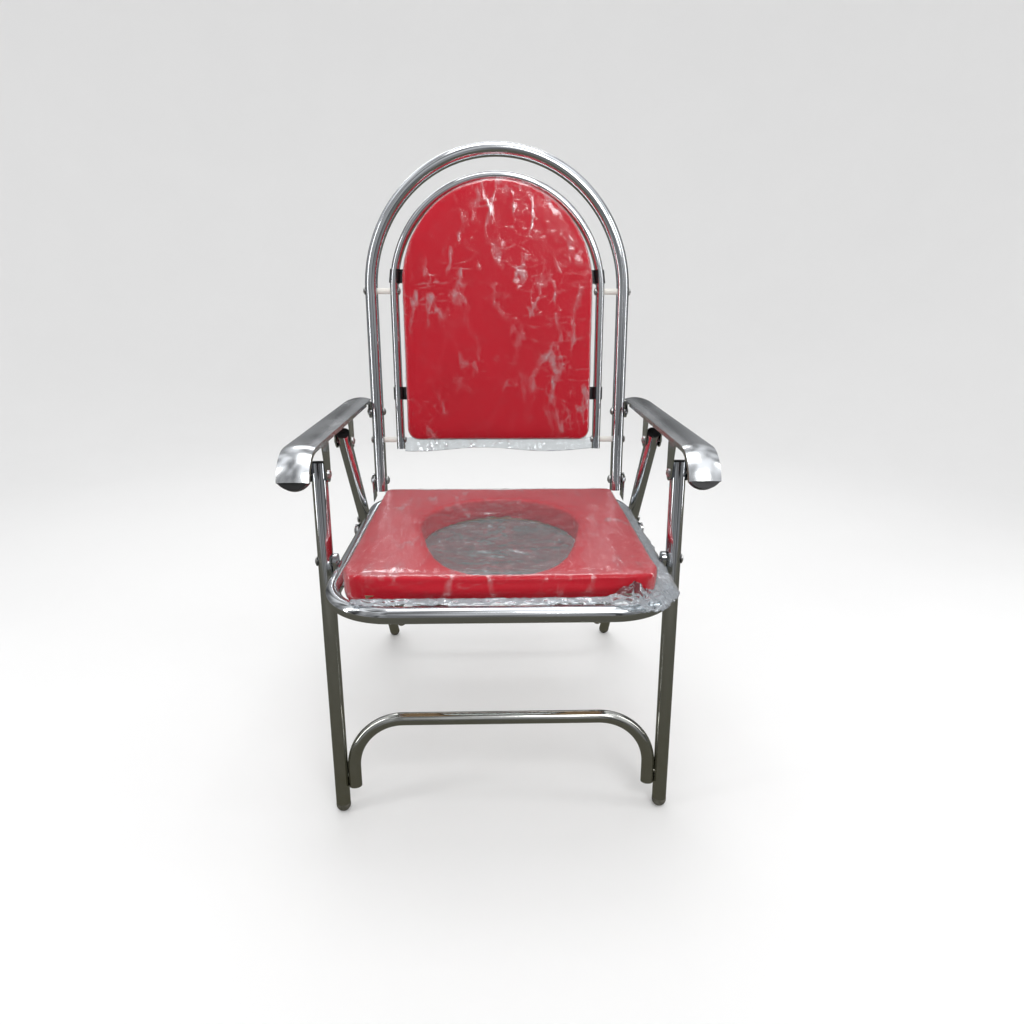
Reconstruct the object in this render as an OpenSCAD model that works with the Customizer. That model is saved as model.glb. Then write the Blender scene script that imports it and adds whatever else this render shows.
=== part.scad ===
// Folding commode chair: chromed steel tube, upholstered seat with an opening, arched upholstered back.
// Frame: mm, +Z up, +X to the right seen from the front, front of the chair towards -Y.

/* [Tubes] */
// outer diameter of the main tube
tube_d = 22; // [19:0.5:26]
// wall of every tube
wall = 1.4; // [1:0.1:2]
// outer diameter of the inner back tube
inner_d = 15; // [12:0.5:18]
// outer diameter of the stretcher tubes
brace_d = 20; // [16:0.5:22]

/* [Seat] */
// distance between the side rails' centrelines
seat_cc = 450; // [400:5:500]
// centre height of the seat frame
seat_z = 388; // [360:2:420]
// front rail centreline
seat_front = -88; // [-100:2:-60]
// rear rail centreline
seat_rear = 398; // [380:2:420]
// half width of the seat cushion
pad_hw = 205; // [190:1:210]
// rear end of the seat cushion
pad_rear = 346; // [320:2:360]
// thickness of the seat cushion
pad_t = 27; // [20:1:40]
// half width of the opening in the seat
hole_hw = 119; // [100:1:130]

/* [Legs] */
// distance between the leg centrelines, left to right
leg_cc = 504; // [500:1:510]
// backward lean of the front legs and of the back
lean = 10; // [8:0.5:12]
// height of the front leg's bolt on the seat
p1_z = 398; // [390:1:402]
// crank length shared by the front legs and the back
crank = 124; // [110:1:140]
// rear leg's bolt under the arm, along the depth
p5_y = 268; // [250:1:280]
// rear leg's bolt under the arm, height
p5_z = 530; // [520:1:535]
// lean of the rear leg
rear_lean = 31.8; // [28:0.1:36]
// height of the stretchers
brace_z = 153; // [120:1:200]

/* [Back] */
// distance between the uprights' centrelines
back_cc = 442; // [400:2:460]
// height along the back where the arch starts
spring = 341; // [300:1:380]
// half width of the inner back tube's centreline
inner_hw = 181; // [170:1:190]
// half width of the back cushion
bpad_hw = 165; // [150:1:168]
// thickness of the back cushion
bpad_t = 24; // [18:1:40]

/* [Arms] */
// height of the arm's top
arm_z = 573; // [550:1:580]
// width of the arm
arm_w = 41; // [35:1:45]
// inner side of the arm
arm_x0 = 237.3; // [237:0.1:240]

/* [Hidden] */
y_mid = 251.2;
tr = tube_d / 2;
lx = leg_cc / 2;
ux = back_cc / 2;
rx = seat_cc / 2;
foot_r = 11.2;
foot_c = 10.2;
fit = 0.05;
br = 3;
p1_y = p1_z * tan(lean);
p3_y = p1_y + crank * sin(lean);
p3_z = p1_z + crank * cos(lean);
b0_y = 396.4;
b0_z = 417;
p2_s = 13;
p2_y = b0_y + p2_s * sin(lean);
p2_z = b0_z + p2_s * cos(lean);
p4_s = p2_s + crank;
p4_y = p2_y + crank * sin(lean);
p4_z = p2_z + crank * cos(lean);
rear_a = rear_lean;
rear_slope = tan(rear_a);
rear_drop = round(p5_z / cos(rear_a) * 10) / 10;
rear_b0 = round(42 / cos(rear_a) * 10) / 10;
rear_b1 = round(brace_z / cos(rear_a) * 10) / 10;
p7_s = 198;
p7_y = p5_y + p7_s * sin(rear_a);
p7_z = p5_z - p7_s * cos(rear_a);
q_y = 232;
q_z = seat_z;
link_len = sqrt(pow(p7_y - q_y, 2) + pow(p7_z - q_z, 2));
link_a = atan2(p7_z - q_z, p7_y - q_y);
slot_dy = -2.1;
slot_dz = 2.0;
board_z = 391.2;
board_t = 12;
wrap_t = 3.9;
pad_z = board_z + board_t + 0.1;
chrome = [0.80, 0.81, 0.83];
red = [0.66, 0.08, 0.13];
black = [0.06, 0.06, 0.06];
zinc = [0.72, 0.72, 0.70];
white = [0.88, 0.87, 0.83];
wood = [0.28, 0.22, 0.17];
olive = [0.30, 0.30, 0.26];

$fn = 64;

// ---- helpers ----
module at() translate([0, -y_mid, 0]) children();
module both() for (s = [-1, 1]) scale([s, 1, 1]) children();
module side(s) scale([s, 1, 1]) children();
// a cylinder along x from x0 to x1
module bar(x0, x1, r, y, z) translate([x0, y, z]) rotate([0, 90, 0]) cylinder(h = x1 - x0, r = r);
// a dome headed bolt head: flat at x0, dome to x0 + h (h may be negative)
module dome(x0, h, r, y, z) translate([x0, y, z]) rotate([0, h > 0 ? 90 : -90, 0])
  rotate_extrude($fn = 48) {
    square([r, abs(h) * 0.4]);
    translate([0, abs(h) * 0.4]) intersection() {
      translate([0, abs(h) * 0.6 - dome_r(abs(h) * 0.6, r - 0.3)])
        circle(r = dome_r(abs(h) * 0.6, r - 0.3), $fn = 128);
      square([r, abs(h) * 0.6 - 0.03]);
    }
  }
function dome_r(h, r) = (h * h + r * r) / (2 * h);
// a straight tube along +Z
module tube(h, d, w = wall) difference() {
  cylinder(h = h, d = d);
  translate([0, 0, -1]) cylinder(h = h + 2, d = d - 2 * w);
}
// leg frames: origin at the axis' floor point, +Z up along the leg
module front_axis(x) translate([x, 0, 0]) rotate([-lean, 0, 0]) children();
module rear_axis(x) translate([x, p5_y, p5_z]) rotate([rear_a, 0, 0]) children();
module back_axis() translate([0, b0_y, b0_z]) rotate([-lean, 0, 0]) children();

// ---- seat ----
rc_f = 85;
rc_r = 60;
module loop_solid(d) {
  for (s = [-1, 1]) scale([s, 1, 1]) {
    translate([rx, seat_front + rc_f, 0]) rotate([-90, 0, 0])
      cylinder(h = seat_rear - rc_r - seat_front - rc_f, d = d);
    translate([rx - rc_f, seat_front + rc_f, 0]) rotate([0, 0, -90])
      rotate_extrude(angle = 90, $fn = 128) translate([rc_f, 0]) circle(d = d, $fn = 32);
    translate([rx - rc_r, seat_rear - rc_r, 0])
      rotate_extrude(angle = 90, $fn = 128) translate([rc_r, 0]) circle(d = d, $fn = 32);
  }
  translate([-(rx - rc_f), seat_front, 0]) rotate([0, 90, 0]) cylinder(h = 2 * (rx - rc_f), d = d);
  translate([-(rx - rc_r), seat_rear, 0]) rotate([0, 90, 0]) cylinder(h = 2 * (rx - rc_r), d = d);
}
module seat_frame() color(chrome) at() translate([0, 0, seat_z]) difference() {
  loop_solid(tube_d);
  loop_solid(tube_d - 2 * wall);
  for (s = [-1, 1]) bar(s > 0 ? rx + 3 : -rx - 12, s > 0 ? rx + 12 : -rx - 3, br + 0.02, q_y, 0);
}
// the boss that carries each front leg's bolt
module seat_front_lugs() color(chrome) at() both() difference() {
  union() {
    bar(234.4, 240.0, 11, p1_y, p1_z);
    translate([234.4, p1_y - 11, seat_z - 6]) cube([5.6, 22, p1_z - seat_z + 6]);
  }
  translate([rx, p1_y - 30, seat_z]) rotate([-90, 0, 0]) cylinder(h = 60, r = tr + 0.02);
  bar(230, 245, br + 0.01, p1_y, p1_z);
}
// the plate that carries each back upright's bolt
module seat_rear_lugs() color(chrome) at() both() difference() {
  union() {
    bar(232.9, 235.8, 12, p2_y, p2_z);
    translate([232.9, p2_y - 12, seat_z]) cube([2.9, 24, p2_z - seat_z]);
  }
  translate([rx, p2_y - 80, seat_z]) rotate([-90, 0, 0]) cylinder(h = 160, r = tr + 0.02);
  translate([rx - rc_r, seat_rear - rc_r, seat_z])
    rotate_extrude(angle = 90, $fn = 128) translate([rc_r, 0]) circle(r = tr + 0.02, $fn = 48);
  bar(230, 245, br + 0.01, p2_y, p2_z);
}
// ledges inside the frame that hold the seat board
module tab_shape(l) translate([0, -l / 2, 0]) cube([34, l, 3]);
module seat_support_tabs() color(chrome) at() {
  both() for (y = [20, 280]) difference() {
    translate([184, y, seat_z + 0.1]) tab_shape(44);
    translate([rx, y - 60, seat_z]) rotate([-90, 0, 0]) cylinder(h = 120, r = tr + 0.02);
    translate([194, y, 380]) cylinder(h = 20, r = 2.1);
  }
  for (x = [-90, 90]) difference() {
    translate([x - 22, seat_front + 7, seat_z + 0.1]) cube([44, 34, 3]);
    translate([x - 60, seat_front, seat_z]) rotate([0, 90, 0]) cylinder(h = 120, r = tr + 0.02);
    translate([x, seat_front + 33, 380]) cylinder(h = 20, r = 2.1);
  }
}
// outline of the opening: long and rounded at the rear, squarer at the front
hole_y = 150;
hole_rear = 126;
hole_front = 198;
// share of the half width that the front part still has at a share f of its reach
function egg_half(f) = pow(max(0, 1 - pow(f, 4.5)), 1 / 4.5) * (1 - 0.32 * pow(f, 1.15));
// the opening's outline: a half ellipse behind, a tapered round-nosed part in front, g smaller all round
function egg(w, g) = [for (i = [0:71]) let (a = i * 5, c = cos(a), s = sin(a))
  s >= 0 ? [(w - g) * c, hole_y + (hole_rear - g) * s]
  : [sign(c) * (w - g) * egg_half(-s), hole_y + (hole_front - g) * s]];
module pad_outline(g = 0) polygon([
  [-(pad_hw - g), pad_rear - g], [-(pad_hw - g), -34 + g], [-(pad_hw - 30 - g), -66 + g],
  [pad_hw - 30 - g, -66 + g], [pad_hw - g, -34 + g], [pad_hw - g, pad_rear - g]]);
module seat_board() color(wood) at() translate([0, 0, board_z]) difference() {
  linear_extrude(board_t) difference() {
    pad_outline(wrap_t + 0.1);
    polygon(egg(hole_hw, -wrap_t - 0.1));
  }
  for (x = [-194, 194], y = [20, 280]) translate([x, y, -1]) cylinder(h = 10, r = 2.02);
  for (x = [-90, 90]) translate([x, seat_front + 33, -1]) cylinder(h = 10, r = 2.02);
}
// foam and cover: on the board, and wrapped down over the board's edges
module seat_cushion() color(red) at() difference() {
  translate([0, 0, board_z + 0.3]) linear_extrude(pad_z + pad_t - board_z - 0.3) difference() {
    pad_outline(0);
    polygon(egg(hole_hw, 0));
  }
  translate([0, 0, board_z - 5]) linear_extrude(pad_z - board_z + 5) difference() {
    pad_outline(wrap_t);
    polygon(egg(hole_hw, -wrap_t));
  }
}
module board_screw(x, y) translate([x, y, 0]) {
  translate([0, 0, seat_z - 2.4]) cylinder(h = 2.45, r1 = 3.2, r2 = 4.2);
  translate([0, 0, seat_z]) cylinder(h = board_z + 8 - seat_z, r = 2);
}
module seat_board_screws() color(zinc) at() {
  for (x = [-194, 194], y = [20, 280]) board_screw(x, y);
  for (x = [-90, 90]) board_screw(x, seat_front + 33);
}
// front leg bolts: dome outside the leg, shank into the boss, washer between
module seat_leg_bolts() color(zinc) at() both() {
  bar(234.5, lx + tr + 0.2, br, p1_y, p1_z);
  dome(lx + tr + 0.15, 4, 7, p1_y, p1_z);
  difference() {
    bar(240.05, 240.85, 7.5, p1_y, p1_z);
    bar(239, 242, br - 0.01, p1_y, p1_z);
  }
}
// back bolts: domes on both sides, sleeve between plate and upright
module seat_back_bolts() color(zinc) at() both() {
  bar(208.5, 236.2, br, p2_y, p2_z);
  dome(235.85, 4.1, 7.5, p2_y, p2_z);
  dome(209.8, -5.2, 7.5, p2_y, p2_z);
  difference() {
    bar(232.1, 232.85, 7, p2_y, p2_z);
    bar(230, 234, br - 0.01, p2_y, p2_z);
  }
}
// link bolts in the side rails
module seat_link_bolts() color(zinc) at() both() {
  bar(rx + 3.2, 240.4, br, q_y, q_z);
  dome(240.3, 3, 7, q_y, q_z);
  difference() {
    bar(236.05, 237.15, 7, q_y, q_z);
    bar(230, 238, br - 0.01, q_y, q_z);
  }
}

// ---- front legs ----
leg_f0 = foot_c / cos(lean) + 3;
module front_leg(s) at() difference() {
  front_axis(s * lx) translate([0, 0, leg_f0])
    tube(p3_z / cos(lean) + 15 - leg_f0, tube_d);
  bar(s * lx - 20, s * lx + 20, br + fit, p1_y, p1_z);
  bar(s * lx - 20, s * lx + 20, br + fit, p3_y, p3_z);
  side(s) bar(lx - 20, lx, br + 0.02, 60 * tan(lean), 60);
}
module front_leg_left() color(chrome) front_leg(-1);
module front_leg_right() color(chrome) front_leg(1);
// a solid U: legs at +-hw, ends at z0, crossbar at z1, corner radius r, in the XZ plane
module arch_u_solid(hw, z0, z1, r, d) {
  for (s = [-1, 1]) scale([s, 1, 1]) {
    translate([hw, 0, z0]) cylinder(h = z1 - r - z0, d = d);
    translate([hw - r, 0, z1 - r]) rotate([90, 0, 0])
      rotate_extrude(angle = 90, $fn = 128) translate([r, 0]) circle(d = d, $fn = 48);
  }
  translate([-(hw - r), 0, z1]) rotate([0, 90, 0]) cylinder(h = 2 * (hw - r), d = d);
}
module arch_u(hw, z0, z1, r, d) difference() {
  arch_u_solid(hw, z0, z1, r, d);
  arch_u_solid(hw, z0 - 1, z1, r, d - 2 * wall);
}
brace_hw = lx - tr - brace_d / 2 - 0.1;
module front_stretcher() color(chrome) at() difference() {
  front_axis(0) arch_u(brace_hw, 42 / cos(lean), brace_z / cos(lean), 80, brace_d);
  for (s = [-1, 1]) side(s) bar(brace_hw, brace_hw + 20, br + 0.02, 60 * tan(lean), 60);
}
// a hidden pin through the two walls that meet, where stretcher and leg are joined
module brace_pin(y, z) bar(lx - tr - 6, lx - tr + 6, br, y, z);
module front_stretcher_pins() color(zinc) at() both() brace_pin(60 * tan(lean), 60);
// a rubber foot: round nose on the floor, spigot inside the tube end
module foot_profile(len) {
  intersection() {
    circle(r = foot_r);
    translate([0, -foot_r + 0.1]) square([foot_r + 1, foot_r]);
  }
  square([foot_r, 2.9]);
  translate([0, 2.8]) square([tr - wall - 0.02, len]);
}
module foot(len = 24) rotate_extrude($fn = 64) foot_profile(len);
module front_feet() color(olive) at() both() difference() {
  front_axis(lx) translate([0, 0, foot_c / cos(lean)]) foot();
  translate([lx - 30, -30, -10]) cube([60, 60, 10]);
}
// a plug in the upper end of each leg tube
module plug() {
  translate([0, 0, -12]) cylinder(h = 12.5, r = tr - wall - 0.02);
  translate([0, 0, 0.02]) cylinder(h = 2.4, r = tr);
}
module front_leg_plugs() color(black) at() both()
  front_axis(lx) translate([0, 0, p3_z / cos(lean) + 15]) difference() {
    plug();
    translate([0, 0, -18]) cylinder(h = 10, r = 7.5);
  }

// ---- rear legs ----
rear_len = (p5_z - foot_c) / cos(rear_a);
module rear_leg(s) at() difference() {
  rear_axis(s * lx) translate([0, 0, -(rear_len - 3)]) tube(rear_len - 3 + 15, tube_d);
  bar(s * lx - 20, s * lx + 20, br + fit, p5_y, p5_z);
  bar(s * lx - 20, s * lx + 20, br + 0.02, p7_y, p7_z);
  side(s) bar(lx - 20, lx, br + 0.02, p5_y + (p5_z - 60) * rear_slope, 60);
}
module rear_leg_left() color(chrome) rear_leg(-1);
module rear_leg_right() color(chrome) rear_leg(1);
module rear_stretcher() color(chrome) at() difference() {
  rear_axis(0) arch_u(brace_hw, rear_b0 - rear_drop, rear_b1 - rear_drop, 80, brace_d);
  for (s = [-1, 1])
    side(s) bar(brace_hw, brace_hw + 20, br + 0.02, p5_y + (p5_z - 60) * rear_slope, 60);
}
module rear_stretcher_pins() color(zinc) at() both() brace_pin(p5_y + (p5_z - 60) * rear_slope, 60);
module rear_feet() color(olive) at() both() intersection() {
  rear_axis(lx) translate([0, 0, -rear_len]) foot();
  translate([lx - 30, 540, 0]) cube([60, 90, 80]);
}
module rear_leg_plugs() color(black) at() both()
  rear_axis(lx) translate([0, 0, 15]) difference() {
    plug();
    translate([0, 0, -18]) cylinder(h = 10, r = 7.5);
  }
// link bolts: a flat disc inside the link, a washer, the leg, and a dome outside
module rear_link_bolts() color(zinc) at() both() {
  bar(236.5, lx + tr + 0.2, br, p7_y, p7_z);
  bar(236.15, 237.15, 9.4, p7_y, p7_z);
  dome(lx + tr + 0.15, 4, 7, p7_y, p7_z);
  difference() {
    bar(240.3, 240.9, 9.4, p7_y, p7_z);
    bar(239, 242, br - 0.01, p7_y, p7_z);
  }
}

// ---- links ----
module link(s) at() side(s) difference() {
  translate([237.25, q_y, q_z]) rotate([link_a, 0, 0]) {
    rotate([0, 90, 0]) cylinder(h = 2.8, r = 10.5);
    translate([0, link_len, 0]) rotate([0, 90, 0]) cylinder(h = 2.8, r = 12);
    translate([0, 0, -8]) cube([2.8, link_len, 16]);
  }
  bar(230, 245, br + fit, q_y, q_z);
  bar(230, 245, 6.4, p7_y + slot_dy, p7_z + slot_dz);
}
module link_left() color(chrome) link(-1);
module link_right() color(chrome) link(1);

// ---- back ----
module arch_back_solid(hw, s0, d) {
  for (s = [-1, 1]) translate([s * hw, 0, s0]) cylinder(h = spring - s0, d = d);
  translate([0, 0, spring]) rotate([90, 0, 0])
    rotate_extrude(angle = 180, $fn = 128) translate([hw, 0]) circle(d = d, $fn = 32);
}
module arch_back(hw, s0, d) difference() {
  arch_back_solid(hw, s0, d);
  arch_back_solid(hw, s0 - 1, d - 2 * wall);
}
bolt_s = [87, spring];
module outer_back_arch() color(chrome) at() back_axis() difference() {
  arch_back(ux, -8, tube_d);
  for (s = [-1, 1]) {
    bar(s * ux - 20, s * ux + 20, br + fit, 0, p2_s);
    bar(s * ux - 20, s * ux + 20, br + 0.02, 0, p4_s);
    for (z = bolt_s) bar(s * ux - 20, s * ux + 20, br + 0.02, 0, z);
  }
}
module inner_back_arch() color(chrome) at() back_axis() difference() {
  arch_back(inner_hw, 70, inner_d);
  for (s = [-1, 1], z = bolt_s) bar(s * inner_hw - 15, s * inner_hw + 15, br + 0.02, 0, z);
}
module back_spacers() color(white) at() back_axis() both() for (z = bolt_s) difference() {
  bar(inner_hw + inner_d / 2 - 0.3, ux - tr + 0.4, 5, 0, z);
  translate([inner_hw, 0, z - 15]) cylinder(h = 30, r = inner_d / 2 + 0.02);
  translate([ux, 0, z - 15]) cylinder(h = 30, r = tr + 0.02);
  bar(inner_hw, ux, br + 0.02, 0, z);
}
module back_through_bolts() color(zinc) at() back_axis() both() for (z = bolt_s) {
  bar(inner_hw - inner_d / 2 - 0.3, ux + tr + 0.3, br, 0, z);
  dome(ux + tr + 0.1, 3.4, 6, 0, z);
  dome(inner_hw - inner_d / 2 - 0.1, -3.4, 6, 0, z);
}
// outline of the padded back in the XS plane
module back_outline(hw, s0, top, r = 18) {
  translate([-hw, s0 + r]) square([2 * hw, top - hw - s0 - r]);
  translate([-(hw - r), s0]) square([2 * (hw - r), r + 1]);
  for (s = [-1, 1]) translate([s * (hw - r), s0 + r]) circle(r = r);
  translate([0, top - hw]) intersection() {
    circle(r = hw, $fn = 128);
    translate([-hw, -1]) square([2 * hw, hw + 2]);
  }
}
board_y = -10;
module back_board() color(wood) at() back_axis() difference() {
  translate([0, board_y + 9, 0]) rotate([90, 0, 0])
    linear_extrude(9) back_outline(bpad_hw - 4, 91, 507);
  for (s = [-1, 1], z = [169, 365]) translate([s * 152, -8, z]) rotate([-90, 0, 0]) cylinder(h = 12, r = 1.9);
}
// foam and cover of the back, wrapped over the board's edges as on the seat
module back_cushion() color(red) at() back_axis() difference() {
  translate([0, -1.3, 0]) rotate([90, 0, 0])
    linear_extrude(bpad_t - board_y - 1.2) back_outline(bpad_hw, 87, 511);
  translate([0, 1, 0]) rotate([90, 0, 0])
    linear_extrude(1.1 - board_y) back_outline(bpad_hw - wrap_t, 87 + wrap_t, 511 - wrap_t);
}
// clips that tie the board to the inner tube
module clip_at(z) {
  a = z > spring ? asin((z - spring) / inner_hw) : 0;
  cx = inner_hw * cos(a);
  difference() {
    union() {
      translate([cx, 0, z]) rotate([0, -a, 0]) translate([0, 0, -11]) cylinder(h = 22, r = inner_d / 2 + 2.2);
      translate([144, -0.9, z - 11]) cube([cx - 144, 2.6, 22]);
    }
    if (a == 0) translate([cx, 0, z - 30]) cylinder(h = 60, r = inner_d / 2 + 0.02);
    if (a > 0) translate([0, 0, spring]) rotate([90, 0, 0])
      rotate_extrude(angle = 40, $fn = 128) translate([inner_hw, 0]) circle(r = inner_d / 2 + 0.02, $fn = 48);
    translate([152, -5, z]) rotate([-90, 0, 0]) cylinder(h = 12, r = 2.02);
    translate([cx - 4, -20, z - 20]) cube([30, 17, 40]);
    translate([cx + 3, -20, z - 20]) cube([20, 22, 40]);
  }
}
module back_clips() color(black) at() back_axis() both() for (z = [169, 365]) clip_at(z);
module back_clip_screws() color(zinc) at() back_axis() both() for (z = [169, 365])
  translate([152, 0, z]) rotate([-90, 0, 0]) {
    translate([0, 0, -7.5]) cylinder(h = 9.5, r = 1.85);
    translate([0, 0, 1.75]) cylinder(h = 1.8, r1 = 3.8, r2 = 2.6);
  }
module arm_hinge_bolts() color(zinc) at() both() {
  bar(208.5, 236.2, br, p4_y, p4_z);
  dome(235.95, 3.8, 6.5, p4_y, p4_z);
  dome(209.8, -4.2, 6.5, p4_y, p4_z);
}

// ---- arms ----
arm_c = arm_x0 + arm_w / 2;
arm_r = 60;
arm_bend_y = 36;
arm_bend = 66;
arm_back_y = 452;
skirt = 10;
crown = 62;
// cross-section of the stamped arm: x across, y up, crown top at y = 0
module arm_section(g = 0) intersection() {
  translate([0, -crown]) circle(r = crown - g, $fn = 256);
  translate([-(arm_w / 2 - g), -skirt - (g > 0 ? 5 : 0)]) square([arm_w - 2 * g, skirt + 6]);
}
arm_rr = 34;
module arm_ring() difference() {
  arm_section(0);
  arm_section(1.3);
}
// rear end of the arm: the section carried through a rounded outer corner
module arm_rear(g) intersection() {
  translate([arm_c, arm_back_y - g, arm_z]) rotate([90, 0, 0]) linear_extrude(arm_rr - g) arm_section(g);
  translate([arm_c, arm_back_y, arm_z - 30]) linear_extrude(60) {
    translate([-arm_w, -arm_rr]) square([arm_w + arm_w / 2 - arm_rr, arm_rr]);
    translate([arm_w / 2 - arm_rr, -arm_rr]) circle(r = arm_rr - g, $fn = 128);
  }
}
module arm_shell(s) at() side(s) difference() {
  union() {
    translate([arm_c, arm_back_y - arm_rr, arm_z]) rotate([90, 0, 0])
      linear_extrude(arm_back_y - arm_rr - arm_bend_y) arm_ring();
    difference() {
      arm_rear(0);
      arm_rear(1.3);
    }
    translate([arm_c, arm_bend_y, arm_z - arm_r]) rotate([90, 0, 90]) rotate([0, 0, 90])
      rotate_extrude(angle = arm_bend, $fn = 256) translate([arm_r, 0]) rotate([0, 0, -90]) arm_ring();
  }
  translate([arm_x0 - 1, 404, arm_z - 14]) cube([3, 60, 14 - 4.6]);
}
module flange(x0, t, y, z, top, w) difference() {
  union() {
    bar(x0, x0 + t, 11, y, z);
    translate([x0, 0, 0]) rotate([90, 0, 90]) linear_extrude(t)
      polygon([[y - 11, z], [y + 11, z], [y + w / 2, top], [y - w / 2, top]]);
  }
  bar(x0 - 1, x0 + t + 1, br + 0.02, y, z);
}
module bracket(y, z, w) {
  top = arm_z - 4.6;
  difference() {
    union() {
      flange(238.4, 2.3, y, z, top, w);
      flange(lx + tr + 0.3, 2.3, y, z, top, w);
      translate([238.65, y - w / 2, top - 2.3]) cube([lx + tr + 0.3 + 2.3 - 238.65, w, 2.3]);
    }
    translate([230, y - w / 2 - 1, arm_z - 13]) cube([8.65, w + 2, 14]);
    for (x = [lx - 5, lx + 6]) translate([x, y, top - 5]) cylinder(h = 8, r = 1.62);
  }
}
module arm_shell_left() color(chrome) arm_shell(-1);
module arm_shell_right() color(chrome) arm_shell(1);
module arm_front_bracket_left() color(chrome) at() side(-1) bracket(p3_y, p3_z, 38);
module arm_front_bracket_right() color(chrome) at() side(1) bracket(p3_y, p3_z, 38);
module arm_rear_bracket_left() color(chrome) at() side(-1) bracket(p5_y, p5_z, 34);
module arm_rear_bracket_right() color(chrome) at() side(1) bracket(p5_y, p5_z, 34);
// tab at the rear end: hangs on the upright's bolt and reaches in under the arm
module hinge_tab() difference() {
  union() {
    bar(232.7, 235.8, 11, p4_y, p4_z);
    translate([232.7, p4_y - 11, p4_z]) cube([3.1, 22, arm_z - 4.7 - p4_z]);
    translate([232.7, p4_y - 11, arm_z - 7.3]) cube([30, 22, 2.6]);
  }
  bar(230, 240, br + fit, p4_y, p4_z);
  translate([253, p4_y, arm_z - 12]) cylinder(h = 10, r = 1.62);
}
module arm_hinge_tab_left() color(chrome) at() side(-1) hinge_tab();
module arm_hinge_tab_right() color(chrome) at() side(1) hinge_tab();
// dark plug in the front mouth of the arm
module end_plug() translate([arm_c, arm_bend_y, arm_z - arm_r]) rotate([90, 0, 90]) rotate([0, 0, 90]) {
  rotate([0, 0, arm_bend - 9]) rotate_extrude(angle = 9, $fn = 256) translate([arm_r, 0])
    rotate([0, 0, -90]) intersection() {
      arm_section(1.35);
      translate([-50, -13]) square([100, 20]);
    }
  rotate([0, 0, arm_bend]) translate([arm_r - 13.5, 0, 0]) rotate([0, 90, 0]) linear_extrude(10.4)
    intersection() {
      translate([0, -14]) circle(r = 23.4, $fn = 128);
      translate([-18.6, -0.2]) square([37.2, 20]);
    }
}
module arm_end_plug_left() color(black) at() side(-1) end_plug();
module arm_end_plug_right() color(black) at() side(1) end_plug();
// rivets that hold brackets and tab up inside the arm
module rivet(x, y) translate([x, y, 0]) {
  translate([0, 0, arm_z - 8.6]) cylinder(h = 1.65, r = 3.4);
  translate([0, 0, arm_z - 7]) cylinder(h = 3.6, r = 1.6);
}
module arm_rivets() {
  for (y = [p3_y, p5_y], x = [lx - 5, lx + 6]) rivet(x, y);
  translate([253, p4_y, arm_z - 9]) cylinder(h = 1.6, r = 3.4);
  translate([253, p4_y, arm_z - 7.5]) cylinder(h = 4, r = 1.6);
}
module arm_rivets_left() color(zinc) at() side(-1) arm_rivets();
module arm_rivets_right() color(zinc) at() side(1) arm_rivets();
module arm_pivot_bolts() for (p = [[p3_y, p3_z], [p5_y, p5_z]]) {
  bar(238, lx + tr + 3, br, p[0], p[1]);
  dome(238.35, -3.4, 6, p[0], p[1]);
  dome(lx + tr + 2.65, 3.4, 6, p[0], p[1]);
}
module arm_pivot_bolts_left() color(zinc) at() side(-1) arm_pivot_bolts();
module arm_pivot_bolts_right() color(zinc) at() side(1) arm_pivot_bolts();

seat_frame();
seat_front_lugs();
seat_rear_lugs();
seat_support_tabs();
seat_board();
seat_cushion();
seat_board_screws();
seat_leg_bolts();
seat_back_bolts();
seat_link_bolts();
front_leg_left();
front_leg_right();
front_stretcher();
front_stretcher_pins();
front_feet();
front_leg_plugs();
rear_leg_left();
rear_leg_right();
rear_stretcher();
rear_stretcher_pins();
rear_feet();
rear_leg_plugs();
rear_link_bolts();
outer_back_arch();
inner_back_arch();
back_spacers();
back_through_bolts();
back_board();
back_cushion();
back_clips();
back_clip_screws();
arm_hinge_bolts();
arm_shell_left();
arm_front_bracket_left();
arm_rear_bracket_left();
arm_hinge_tab_left();
arm_end_plug_left();
arm_rivets_left();
arm_pivot_bolts_left();
arm_shell_right();
arm_front_bracket_right();
arm_rear_bracket_right();
arm_hinge_tab_right();
arm_end_plug_right();
arm_rivets_right();
arm_pivot_bolts_right();
link_left();
link_right();
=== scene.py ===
# %% [markdown]
# # A folding commode chair
# The chair is a frame of chromed steel tube with a red leatherette seat and back.
# The seat has an opening for the pan, and both cushions are still in their clear wrapping.
# The measured frame comes from the CAD model. This lesson adds the soft parts, the wrapping
# and all of the finishes around it, and never moves the frame itself.

# %% Load the measured frame
import math

import bmesh
import bpy
from mathutils import Euler, Matrix, Vector, kdtree, noise


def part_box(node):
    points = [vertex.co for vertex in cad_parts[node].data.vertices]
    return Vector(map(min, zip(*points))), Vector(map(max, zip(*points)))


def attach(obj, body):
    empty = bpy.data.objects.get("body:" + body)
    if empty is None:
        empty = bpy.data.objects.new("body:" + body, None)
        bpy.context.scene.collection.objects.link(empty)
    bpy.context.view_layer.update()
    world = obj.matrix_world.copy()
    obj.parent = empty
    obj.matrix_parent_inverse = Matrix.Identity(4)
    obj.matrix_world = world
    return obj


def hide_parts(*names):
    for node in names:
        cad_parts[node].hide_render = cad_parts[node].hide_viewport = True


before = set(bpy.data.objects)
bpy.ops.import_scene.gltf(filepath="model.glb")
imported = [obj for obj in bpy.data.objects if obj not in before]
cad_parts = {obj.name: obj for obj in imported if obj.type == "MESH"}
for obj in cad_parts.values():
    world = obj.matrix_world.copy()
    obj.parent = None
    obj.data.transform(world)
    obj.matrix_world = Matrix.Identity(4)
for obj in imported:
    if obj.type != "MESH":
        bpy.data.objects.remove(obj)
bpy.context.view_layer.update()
scene = bpy.context.scene
MM = 0.001
print("nodes in the frame:", len(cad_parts))

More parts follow.
